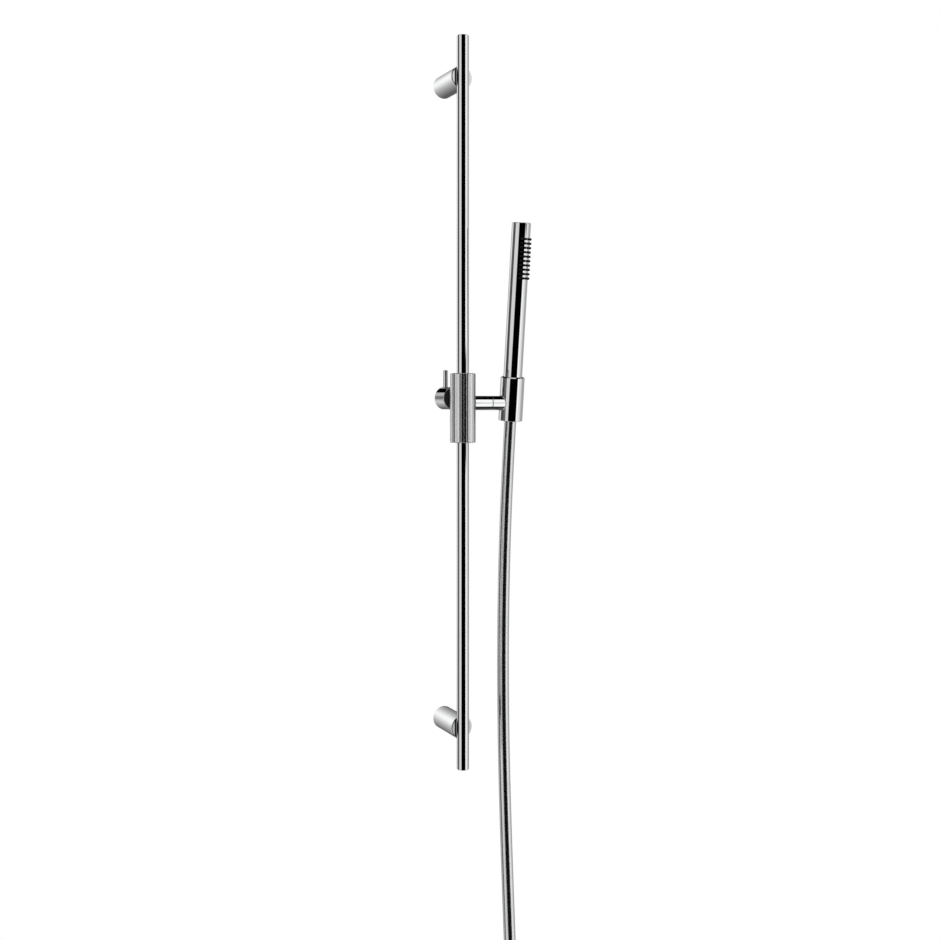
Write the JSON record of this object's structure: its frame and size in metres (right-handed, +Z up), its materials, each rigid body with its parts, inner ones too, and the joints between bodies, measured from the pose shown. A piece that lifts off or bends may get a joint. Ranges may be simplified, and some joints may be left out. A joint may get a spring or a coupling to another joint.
{
  "type": "shower slide rail",
  "caption": "Chrome wall rail on round posts with a knurled slider, side clamp knob, tilting round holder, slim hand shower resting in it and a smooth hose with its coil.",
  "frame": {"origin": "on the wall, midway between the screw holes of the posts", "axes": "X right along the wall, Y into the wall, Z up along the rail"},
  "size_m": [0.1845, 0.0988, 1.4288],
  "materials": {
    "chrome": "polished",
    "brass": "turned",
    "steel": "plain",
    "plastic": "moulded",
    "rubber": "soft matte",
    "hose": "smooth silver",
    "tie": "woven strap"
  },
  "bodies": {
    "rail": {"rail_tube": "chrome", "upper_rail_cap": "chrome", "lower_rail_cap": "chrome", "upper_rail_insert": "brass", "lower_rail_insert": "brass", "upper_post": "chrome", "lower_post": "chrome", "upper_spigot": "brass", "lower_spigot": "brass", "upper_grub_screw": "steel", "lower_grub_screw": "steel", "upper_rail_screw": "steel", "lower_rail_screw": "steel"},
    "carriage": {"upper_bush": "plastic", "lower_bush": "plastic"},
    "slider": {"slider_sleeve": "chrome", "upper_bush_ring": "steel", "lower_bush_ring": "steel", "clamp_neck": "chrome", "knob_ring": "steel", "arm_stub": "chrome", "arm_screw": "steel", "pivot_screw": "steel", "pivot_washer": "plastic", "hose_run": "hose", "hose_coil": "hose", "coil_tie": "tie", "end_ferrule": "chrome", "end_insert": "brass", "hose_end_nut": "chrome", "end_washer": "rubber"},
    "knob": {"clamp_knob": "chrome", "knob_washer": "plastic", "clamp_lever": "chrome"},
    "clamp": {"clamp_spindle": "steel", "brake_shoe": "plastic"},
    "holder": {"holder_cup": "chrome", "holder_seat": "plastic", "seat_ring": "steel", "handset_tube": "chrome", "handset_cap": "chrome", "nozzle_strip": "rubber", "handset_core": "plastic", "handset_inlet": "brass", "inlet_washer": "rubber", "hose_insert": "brass", "hose_ferrule": "chrome", "hose_cone_nut": "chrome"}
  },
  "joints": [
    {"name": "height_slide", "type": "slide", "parent": "rail", "child": "carriage", "axis": [0, 0, 1], "range_m": [-0.33, 0.34]},
    {"name": "swivel", "type": "hinge", "parent": "carriage", "child": "slider", "pos_m": [0, -0.0565, 0], "axis": [0, 0, 1], "range_deg": [-195, 15]},
    {"name": "knob_turn", "type": "hinge", "parent": "slider", "child": "knob", "pos_m": [0, -0.0565, 0.0052], "axis": [-0.2079, 0.9781, 0], "range_deg": [0, 90]},
    {"name": "clamp_lift", "type": "slide", "parent": "slider", "child": "clamp", "axis": [-0.2079, 0.9781, 0], "range_m": [0, 0.000376]},
    {"name": "holder_tilt", "type": "hinge", "parent": "slider", "child": "holder", "pos_m": [0.0675, -0.0565, -0.0008], "axis": [1, 0, 0], "range_deg": [-10, 45], "deforming": ["hose_run"]}
  ],
  "couplings": [
    {"joint": "clamp_lift", "follows": "knob_turn", "m_per_rad": 0.00023873}
  ]
}
